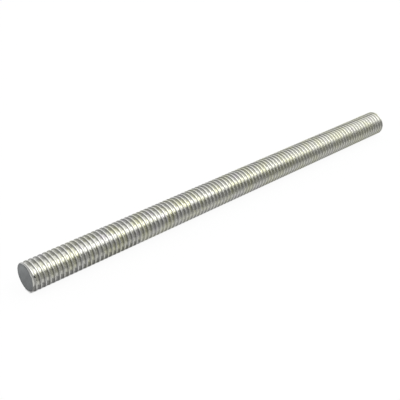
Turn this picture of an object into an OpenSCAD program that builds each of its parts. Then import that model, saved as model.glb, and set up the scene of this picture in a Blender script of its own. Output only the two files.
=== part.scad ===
// A cut length of M6 threaded rod, lying along X with its near end at the origin.
// It is one piece of steel: a round bar with one V groove wound round it from end
// to end. The groove leaves a narrow land of the bar's own surface between turns.

/* [Rod] */
// Diameter over the crests of the thread
thread_d = 6; // [5:0.25:8]
// Length from one cut end to the other
rod_length = 105; // [60:5:150]

/* [Thread] */
// Distance along the rod from one turn to the next
pitch = 1; // [0.8:0.05:1.5]
// Width of the land left on each crest
crest_w = 0.2; // [0.15:0.01:0.3]
// Angle between the two sides of the groove
flank_angle = 60; // [55:1:65]
// Where the groove runs out of the near end, turned from straight down towards +Y
start_angle = 258; // [0:6:354]

/* [Ends] */
// Size of the bevel that takes the burr off each cut end
bevel = 0.15; // [0.05:0.05:0.4]

/* [Hidden] */

// Circles are smooth, and the groove is made of flat facets within a budget
$fn = 96;
facet_budget = 11800;
facets_per_step = 6;

// The groove starts a turn before the near end and stops a turn past the far one
spare_turns = 1;
groove_turns = ceil(rod_length / pitch) + 2 * spare_turns;
steps_per_turn = max(10, floor(facet_budget / (facets_per_step * groove_turns)));
step_angle = 360 / steps_per_turn;

// A facet's corners lie a little outside its true radius and its middle a little inside
function corner_r(r) = r * (1 + 1 / cos(step_angle / 2)) / 2;

crest_r = thread_d / 2;
groove_half_w = (pitch - crest_w) / 2;
groove_depth = groove_half_w / tan(flank_angle / 2);
root_r = crest_r - groove_depth;

// The cutter opens on outside the bar, far enough for its flattest facet to clear it
cutter_lip = 0.03;
mouth_r = crest_r / cos(step_angle / 2) + cutter_lip;
mouth_half_w = groove_half_w + (mouth_r - corner_r(crest_r)) * tan(flank_angle / 2);

// One section of the V cutter, turned and advanced by a number of steps
function groove_section(step) =
    let (turn = step / steps_per_turn - spare_turns,
         across = [cos(360 * turn), sin(360 * turn)],
         along = turn * pitch)
    [[mouth_r * across.x, mouth_r * across.y, along - mouth_half_w],
     [corner_r(root_r) * across.x, corner_r(root_r) * across.y, along],
     [mouth_r * across.x, mouth_r * across.y, along + mouth_half_w]];

// The two triangles between one side of a section and the same side of the next
function side_facets(step, side) =
    let (a = 3 * step + side, b = 3 * step + (side + 1) % 3, c = a + 3, d = b + 3)
    [[a, c, b], [b, c, d]];

// The V groove: its sections joined in a helix, closed by a triangle at each end
module groove_cutter() {
    steps = groove_turns * steps_per_turn;
    sides = [for (step = [0 : steps - 1], side = [0 : 2]) each side_facets(step, side)];
    ends = [[0, 1, 2], [3 * steps + 2, 3 * steps + 1, 3 * steps]];
    polyhedron(
        points = [for (step = [0 : steps]) each groove_section(step)],
        faces = concat(sides, ends),
        convexity = 10
    );
}

// The plain bar, with a bevelled edge at each cut end
module bar() {
    rotate_extrude()
        polygon([
            [0, 0],
            [crest_r - bevel, 0],
            [crest_r, bevel],
            [crest_r, rod_length - bevel],
            [crest_r - bevel, rod_length],
            [0, rod_length]
        ]);
}

module rod() {
    color("silver")
        rotate([0, 90, 0])
            difference() {
                bar();
                rotate([0, 0, start_angle]) groove_cutter();
            }
}

rod();
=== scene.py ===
"""A cut length of zinc-plated M6 threaded rod on a plain pale floor."""

import math

import bmesh
import bpy
import numpy as np
from mathutils import Matrix, Vector


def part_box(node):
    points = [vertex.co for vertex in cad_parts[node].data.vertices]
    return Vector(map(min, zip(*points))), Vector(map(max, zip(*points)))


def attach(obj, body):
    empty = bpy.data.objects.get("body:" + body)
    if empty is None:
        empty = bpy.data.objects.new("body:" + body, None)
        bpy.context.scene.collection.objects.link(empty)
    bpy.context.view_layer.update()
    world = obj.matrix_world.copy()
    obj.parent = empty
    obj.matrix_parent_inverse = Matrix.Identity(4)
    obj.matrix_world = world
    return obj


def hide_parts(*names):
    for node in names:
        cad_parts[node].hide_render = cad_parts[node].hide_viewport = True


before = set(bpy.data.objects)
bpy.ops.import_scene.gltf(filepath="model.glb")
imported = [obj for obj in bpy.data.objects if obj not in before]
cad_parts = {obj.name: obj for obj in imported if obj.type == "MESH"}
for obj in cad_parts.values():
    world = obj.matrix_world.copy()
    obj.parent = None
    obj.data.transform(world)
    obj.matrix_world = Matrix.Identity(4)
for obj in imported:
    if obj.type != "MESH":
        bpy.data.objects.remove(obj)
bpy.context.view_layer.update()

# ---------------------------------------------------------------- the threaded rod
# One piece of low-carbon steel wire. The thread is rolled into it cold along its whole
# length, so the crests and the bottoms of the grooves are rounded. Then it is zinc plated,
# and last it is cut to length, which leaves bare grey steel on the two end faces.

MM = 0.001
low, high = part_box("rod")
rod_length = high.x - low.x
crest_r = (high.z - low.z) / 2
pitch = 1.0 * MM
crest_w = 0.2 * MM
flank_angle = math.radians(30)
root_r = 2.36 * MM
root_blend = 0.35 * MM
crest_blend = 0.16 * MM
bevel = 0.15 * MM
bevel_blend = 0.05 * MM
# how far round the rod the groove runs out of the near end, as a share of a turn
groove_start = 258 / 360

STEPS_PER_TURN = 48
# the turns of rows beyond the two cut ends, taken together, which the ends cut off
SPARE_TURNS = 3
# where the rows of points cross one pitch, counted from the middle of the groove
HALF_ROWS = np.array([0.0, 0.055, 0.11, 0.2, 0.3, 0.36, 0.4, 0.44])
ROWS = np.concatenate([HALF_ROWS, [0.5], 1 - HALF_ROWS[:0:-1]])
# the sizes of the rings that close a cut face, as shares of its rim
FACE_RINGS = np.array([1.0, 0.97, 0.85, 0.6, 0.3])


def smaller(a, b, blend):
    """The smaller of a and b, with the corner where they cross rounded inwards over blend."""
    near = np.clip(1 - np.abs(a - b) / blend, 0, 1)
    return np.minimum(a, b) - near**2 * blend / 4


def larger(a, b, blend):
    """The larger of a and b, with the corner where they cross filled in over blend."""
    return -smaller(-a, -b, blend)


def thread_radius(along, turn):
    """Radius of the thread at a distance along the rod and a number of turns round it.
    The groove's middle moves one pitch a turn. Each side of it rises in a straight flank
    30 degrees off square, from a rounded bottom to a land on the crest with rounded edges.
    At the two cut ends a 45 degree bevel takes the crest down."""
    off = along / pitch - (turn - groove_start)
    off = np.abs(off - np.round(off)) * pitch
    flank = crest_r - ((pitch - crest_w) / 2 - off) / math.tan(flank_angle)
    radius = smaller(larger(flank, root_r, root_blend), crest_r, crest_blend)
    for from_end in (along, rod_length - along):
        radius = smaller(radius, crest_r - bevel + from_end, bevel_blend)
    return radius


def rod_surface():
    """Points and faces of the rod. A row of points follows the helix at one place on the
    groove's section, and a column holds every row at one angle, so column STEPS_PER_TURN
    is column 0 moved on by one pitch of rows. Rows that pass a cut end stop in its plane.
    Each end is closed by rings that shrink to its middle."""
    turns = math.ceil(rod_length / pitch) + SPARE_TURNS
    rows = (np.arange(turns)[:, None] + ROWS).ravel()
    columns = np.arange(STEPS_PER_TURN)[:, None]
    turn = columns / STEPS_PER_TURN
    along = np.clip((rows - 1 + turn - groove_start) * pitch, 0, rod_length)
    radius = thread_radius(along, turn)
    angle = 2 * math.pi * turn
    side = np.stack([along, radius * np.sin(angle), -radius * np.cos(angle)], -1)

    # faces between a column and the next, but none past the last row, nor in a cut end's plane
    here = columns * len(rows) + np.arange(len(rows))
    beyond = np.concatenate([here[1:], here[:1] + len(ROWS)])
    quads = np.stack([here[:, :-1], here[:, 1:], beyond[:, 1:], beyond[:, :-1]], -1)
    joined = np.ones(quads.shape[:2], bool)
    joined[-1, len(rows) - len(ROWS) - 1 :] = False
    quads = quads[joined]
    quads = quads[np.ptp(along.ravel()[quads], axis=1) > 0]

    points, faces = [side.reshape(-1, 3)], [quads]
    start = len(points[0])
    for rim, way_round in ((side[:, 0], 1), (side[:, -1], -1)):
        rings = rim * FACE_RINGS[:, None, None]
        rings[..., 0] = rim[:, 0]
        middle = start + FACE_RINGS.size * STEPS_PER_TURN
        points += [rings.reshape(-1, 3), np.array([[rim[0, 0], 0, 0]])]
        ring = np.arange(start, middle).reshape(-1, STEPS_PER_TURN)
        after = np.roll(ring, -1, axis=1)
        ring_quads = np.stack([ring[:-1], after[:-1], after[1:], ring[1:]], -1).reshape(-1, 4)
        fan = np.stack([ring[-1], after[-1], np.full(STEPS_PER_TURN, middle)], -1)
        faces += [ring_quads[:, ::way_round], fan[:, ::way_round]]
        start = middle + 1
    return np.concatenate(points), faces


def mesh_object(name, points, faces):
    """A mesh object from an array of points and arrays of faces, with its doubles merged."""
    merge_within = 1e-7
    mesh = bpy.data.meshes.new(name)
    mesh.from_pydata(points.tolist(), [], [face for part in faces for face in part.tolist()])
    bm = bmesh.new()
    bm.from_mesh(mesh)
    bmesh.ops.remove_doubles(bm, verts=bm.verts, dist=merge_within)
    bmesh.ops.recalc_face_normals(bm, faces=bm.faces)
    bm.to_mesh(mesh)
    bm.free()
    obj = bpy.data.objects.new(name, mesh)
    bpy.context.scene.collection.objects.link(obj)
    return obj


rod = mesh_object("threaded_rod", *rod_surface())
rod.data.set_sharp_from_angle(angle=math.radians(50))


class Wire:
    """A socket of a shader, with arithmetic that adds the Math nodes for it."""

    def __init__(self, tree, socket=None):
        self.tree, self.socket = tree, socket

    def node(self, kind, inputs=(), output=0, **settings):
        """One output of a new node, whose settings are made before its inputs are."""
        node = self.tree.nodes.new("ShaderNode" + kind)
        for key, value in settings.items():
            setattr(node, key, value)
        for key, value in dict(inputs).items():
            if isinstance(value, Wire):
                value.into(node.inputs[key])
            else:
                node.inputs[key].default_value = value
        return Wire(self.tree, node.outputs[output])

    def into(self, socket):
        """Links this to a node's input."""
        self.tree.links.new(self.socket, socket)

    def math(self, operation, *values):
        return self.node("Math", enumerate(values), operation=operation)

    def vector(self, operation, *others, output="Value"):
        """Vector maths on this and others. Its result is a number, or a vector as "Vector"."""
        values = enumerate([self, *others])
        return self.node("VectorMath", values, output=output, operation=operation)

    def __add__(self, other):
        return self.math("ADD", self, other)

    def __sub__(self, other):
        return self.math("SUBTRACT", self, other)

    def __rsub__(self, other):
        return self.math("SUBTRACT", other, self)

    def __mul__(self, other):
        return self.math("MULTIPLY", self, other)

    __radd__, __rmul__ = __add__, __mul__

    def between(self, start, end):
        """0 below start and 1 above end, smooth in between. start may be above end."""
        limits = {"Value": self, "From Min": start, "From Max": end}
        return self.node("MapRange", limits, interpolation_type="SMOOTHSTEP")

    def noise(self, scale, detail):
        """A noise at this place, of about scale blots to the metre."""
        return self.node("TexNoise", {"Vector": self, "Scale": scale, "Detail": detail})

    def colours(self, a, b, blend_type="MIX"):
        """Colour a where this is 0, and b (or a times b, for MULTIPLY) where it is 1."""
        # a Mix node's colours are its inputs 6 and 7, and their mix is its output 2
        sockets = {0: self, 6: a, 7: b}
        return self.node("Mix", sockets, output=2, data_type="RGBA", blend_type=blend_type)


def material(name):
    """A new material with one Principled shader. Returns it, the shader and a first Wire."""
    made = bpy.data.materials.new(name)
    made.use_nodes = True
    return made, made.node_tree.nodes["Principled BSDF"], Wire(made.node_tree)


zinc, zinc_shader, wire = material("zinc_plate")
place = wire.node("TexCoord", output="Object")
x = wire.node("SeparateXYZ", {0: place}, output="X")
across = place.vector("MULTIPLY", (0, 1, 1), output="Vector")
radius = across.vector("LENGTH")

# the plating is bright in the groove and on the crest, and dull on the flank between them
groove_zinc = (0.90, 0.90, 0.86, 1)
flank_zinc = (0.50, 0.50, 0.48, 1)
crest_zinc = (0.92, 0.92, 0.88, 1)
up_the_flank = radius.between(2.60 * MM, 2.80 * MM)
on_the_crest = radius.between(2.92 * MM, 2.99 * MM)
plated = up_the_flank.colours(groove_zinc, flank_zinc)
plated = on_the_crest.colours(plated, crest_zinc)

# the passivation's thin film tints it pale yellow-green or faint violet in patches, and the
# yellow is more even towards the far end
yellow_film = (1.0, 1.0, 0.86, 1)
violet_film = (0.95, 0.91, 1.0, 1)
film = place.noise(330, 3.0)
in_patches = film.between(0.44, 0.62) * x.between(-8 * MM, 16 * MM)
yellow = in_patches * 0.9 + x.between(20 * MM, 95 * MM) * 0.35
violet = film.between(0.38, 0.30) * 0.8
plated = yellow.colours(plated, yellow_film, "MULTIPLY")
plated = violet.colours(plated, violet_film, "MULTIPLY")

# fine dull mottling, strongest above the bottom of the groove
dull_blot = (0.20, 0.20, 0.18, 1)
mottle = place.noise(2300, 3.0).between(0.45, 0.65) * (up_the_flank * 0.15 + 0.03)
plated = mottle.colours(plated, dull_blot)

# the bevel at each end is rubbed bright
bevel_bright = (0.92, 0.92, 0.90, 1)
from_end = wire.math("MINIMUM", x, rod_length - x)
on_the_bevel = from_end.between(0.24 * MM, 0.14 * MM) * radius.between(2.55 * MM, 2.7 * MM)
plated = on_the_bevel.colours(plated, bevel_bright)

# a near-black spot with a ragged edge, painted on the first turn: a painted shadow, with no hollow
# cut in the shape under it
painted_shadow_black = (0.03, 0.03, 0.03, 1)
shadow_spot_place = (0.6 * MM, -2.65 * MM, 1.41 * MM)
shadow_spot_far = place.vector("DISTANCE", shadow_spot_place)
ragged = (place.noise(2600, 2.0) - 0.5) * (0.25 * MM)
painted_shadow_spot = (shadow_spot_far + ragged).between(0.36 * MM, 0.20 * MM)
plated = painted_shadow_spot.colours(plated, painted_shadow_black)

# the cut faces are bare steel, even and grey, darker towards the rim
middle_steel = (0.48, 0.50, 0.505, 1)
outer_steel = (0.34, 0.355, 0.36, 1)
rim_steel = (0.14, 0.14, 0.14, 1)
bare = (radius.between(2.0 * MM, 2.6 * MM) * 0.5).colours(middle_steel, outer_steel)
bare = (radius.between(2.62 * MM, 2.8 * MM) * 0.6).colours(bare, rim_steel)

# along the upper front of the rim a line of painted shadow, and on the face faint clouds
upper_front = (0, -0.574, 0.819)
height = place.vector("DOT_PRODUCT", upper_front)
painted_shadow_line = height.between(2.0 * MM, 2.3 * MM) * radius.between(2.50 * MM, 2.56 * MM)
bare = painted_shadow_line.colours(bare, painted_shadow_black)
cloud_steel = (0.30, 0.31, 0.32, 1)
clouds = place.noise(900, 3.0).between(0.35, 0.65) * 0.25
bare = clouds.colours(bare, cloud_steel)

near_cut = x.between(0.03 * MM, 0.02 * MM)
far_cut = x.between(rod_length - 0.03 * MM, rod_length - 0.02 * MM)
cut = near_cut + far_cut
colour = cut.colours(plated, bare)
colour.into(zinc_shader.inputs["Base Color"])

# the plating's own fine grain, and a rougher finish on the crests, the blots and the cuts
rough = on_the_crest * 0.12 + mottle * 0.2 + cut * 0.25 + 0.2
rough.into(zinc_shader.inputs["Roughness"])
grain = place.noise(3200, 2.0)
grain = wire.node("Bump", {"Strength": 0.5, "Distance": 0.006 * MM, "Height": grain})
grain.into(zinc_shader.inputs["Normal"])
zinc_shader.inputs["Metallic"].default_value = 1
rod.data.materials.append(zinc)

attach(rod, "root")
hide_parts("rod")

# ---------------------------------------------------------------- the floor
# A wide sheet of white card under the rod. It shows white to the camera and to the metal,
# and it keeps part of the rod's own soft shadow.

reach = 3
floor_corners = [(-reach, -reach), (reach, -reach), (reach, reach), (-reach, reach)]
floor = bpy.data.objects.new("floor", bpy.data.meshes.new("floor"))
floor.data.from_pydata([(*corner, low.z) for corner in floor_corners], [], [(0, 1, 2, 3)])
bpy.context.scene.collection.objects.link(floor)

card, card_shader, wire = material("white_card")
card_shader.inputs["Base Color"].default_value = (0.9, 0.9, 0.9, 1)
card_shader.inputs["Roughness"].default_value = 1
card_shader.inputs["Specular IOR Level"].default_value = 0

# a narrow strip right under the rod, where it touches, keeps the whole of the shadow
spot = wire.node("TexCoord", output="Object")
spot_x = wire.node("SeparateXYZ", {0: spot}, output="X")
spot_y = wire.node("SeparateXYZ", {0: spot}, output="Y")
aside = wire.math("ABSOLUTE", spot_y)
past_near_end = spot_x.between(-0.2 * MM, 0.3 * MM)
before_far_end = spot_x.between(rod_length + 0.2 * MM, rod_length - 0.3 * MM)
under = aside.between(1.15 * MM, 0.8 * MM) * past_near_end * before_far_end

# elsewhere most of the card's look is plain white, and the rest is its real, shaded surface
white_share = 0.93
rays = [f"Is {kind} Ray" for kind in ("Camera", "Glossy", "Transmission")]
looked_at = sum(wire.node("LightPath", output=ray) for ray in rays)
share = looked_at * ((1 - under) * white_share)
white = wire.node("Emission", {"Color": (1, 1, 1, 1), "Strength": 1.0})
shaded = Wire(card.node_tree, card_shader.outputs["BSDF"])
both = wire.node("MixShader", {0: share, 1: shaded, 2: white})
both.into(card.node_tree.nodes["Material Output"].inputs["Surface"])
floor.data.materials.append(card)

# ---------------------------------------------------------------- light
# An even white room, and one large soft lamp high up in front, off beyond the far end. Flat
# cards stand round the rod and lie on the floor, all grey but one, and only the metal's
# reflections see them.

world = bpy.data.worlds.new("studio")
bpy.context.scene.world = world
world.use_nodes = True
background = world.node_tree.nodes["Background"]
background.inputs["Color"].default_value = (1, 1, 1, 1)
background.inputs["Strength"].default_value = 1.0


def softbox(name, a, b, c, strength):
    """A rectangular lamp with its lower edge from a to b and its height from a to c. Its face
    looks to the left of the way from a to b, and strength is its brightness."""
    a, b, c = Vector(a), Vector(b), Vector(c)
    wide, tall = b - a, c - a
    tall -= tall.project(wide)
    lamp = bpy.data.lights.new(name, "AREA")
    lamp.shape, lamp.size, lamp.size_y = "RECTANGLE", wide.length, tall.length
    lamp.energy = strength * math.pi * wide.length * tall.length
    obj = bpy.data.objects.new(name, lamp)
    turned = Matrix((wide.normalized(), tall.normalized(), wide.cross(tall).normalized()))
    obj.rotation_euler = turned.transposed().to_euler()
    obj.location = a + (wide + tall) / 2
    bpy.context.scene.collection.objects.link(obj)


def grey_card(name, corners, brightness):
    """A flat card that only the metal's reflections see. 1 is as bright as the white room."""
    mesh = bpy.data.meshes.new(name)
    mesh.from_pydata(corners, [], [(0, 1, 2, 3)])
    obj = bpy.data.objects.new(name, mesh)
    bpy.context.scene.collection.objects.link(obj)
    made, _, wire = material(name)
    glow = wire.node("Emission", {"Color": (brightness, brightness, brightness, 1)})
    glow.into(made.node_tree.nodes["Material Output"].inputs["Surface"])
    mesh.materials.append(made)
    obj.visible_camera = obj.visible_diffuse = obj.visible_shadow = False


def standing_card(name, start, end, foot, tops, brightness):
    """A grey card that stands on the line from start to end, from a height of foot up to the
    two heights of tops at its start and its end."""
    low_edge = [(*start, foot), (*end, foot)]
    grey_card(name, low_edge + [(*end, tops[1]), (*start, tops[0])], brightness)


def floor_strip(name, near, far, brightness, start=-0.5, end=0.5):
    """A grey card flat on the floor, from near to far across the rod and start to end along it."""
    lift = 0.2 * MM
    corners = [(start, near), (end, near), (end, far), (start, far)]
    grey_card(name, [(*corner, low.z + lift) for corner in corners], brightness)


softbox("key", (0.06, -0.72, 0.50), (0.85, -0.12, 0.50), (-0.075, -0.54, 0.74), 2.0)

# the upright cards: a bright one at the back beyond the far end, a dark one in front, and
# two of a middle grey at the back, of which the high one leans forwards
front_y = -0.30
foot_z = -0.002
standing_card("bright_card", (0.08, 0.40), (0.75, 0.25), 0.02, (0.22, 0.22), 1.3)
standing_card("front_card", (-0.42, front_y), (0.36, front_y), foot_z, (0.158, 0.158), 0.26)
standing_card("back_card", (-0.40, -0.02), (-0.06, 0.36), foot_z, (0.21, 0.34), 0.42)
leaning = [(-0.25, 0.30, 0), (0.12, 0.30, 0), (0.12, 0.25, 0.70), (-0.25, 0.25, 0.70)]
grey_card("high_card", leaning, 0.50)

# the strips on the floor, in order from the front card, under the rod and out behind it. The three
# just under and behind the rod are darker: a painted shadow of the rod that only its reflections
# show, darkest under the first part of the rod
first_part = 24 * MM
floor_strip("front_strip", front_y, -6.0 * MM, 0.31)
floor_strip("side_strip", -6.0 * MM, -2.6 * MM, 0.6)
floor_strip("painted_shadow_near_strip", -2.6 * MM, -0.4 * MM, 0.22, end=first_part)
floor_strip("painted_shadow_far_strip", -2.6 * MM, -0.4 * MM, 0.42, start=first_part)
floor_strip("painted_shadow_back_strip", -0.4 * MM, 6.0 * MM, 0.33)
floor_strip("back_strip", 6.0 * MM, 35 * MM, 0.52)
floor_strip("far_strip", 60 * MM, 120 * MM, 0.45)

# ---------------------------------------------------------------- camera
# It looks along the rod and down on it from beyond the near end, close enough for the far
# end to look much the smaller.

heading, down = math.radians(47.916), math.radians(29.594)
level = math.cos(down)
look = Vector((math.cos(heading) * level, math.sin(heading) * level, -math.sin(down)))
camera = bpy.data.objects.new("camera", bpy.data.cameras.new("camera"))
camera.data.sensor_width = 36
camera.data.lens = 67.35
camera.data.clip_start = 0.005
camera.location = (-0.05132, -0.10436, 0.07989)
camera.rotation_euler = look.to_track_quat("-Z", "Y").to_euler()
bpy.context.scene.collection.objects.link(camera)
bpy.context.scene.camera = camera

bpy.context.scene.view_settings.view_transform = "Standard"
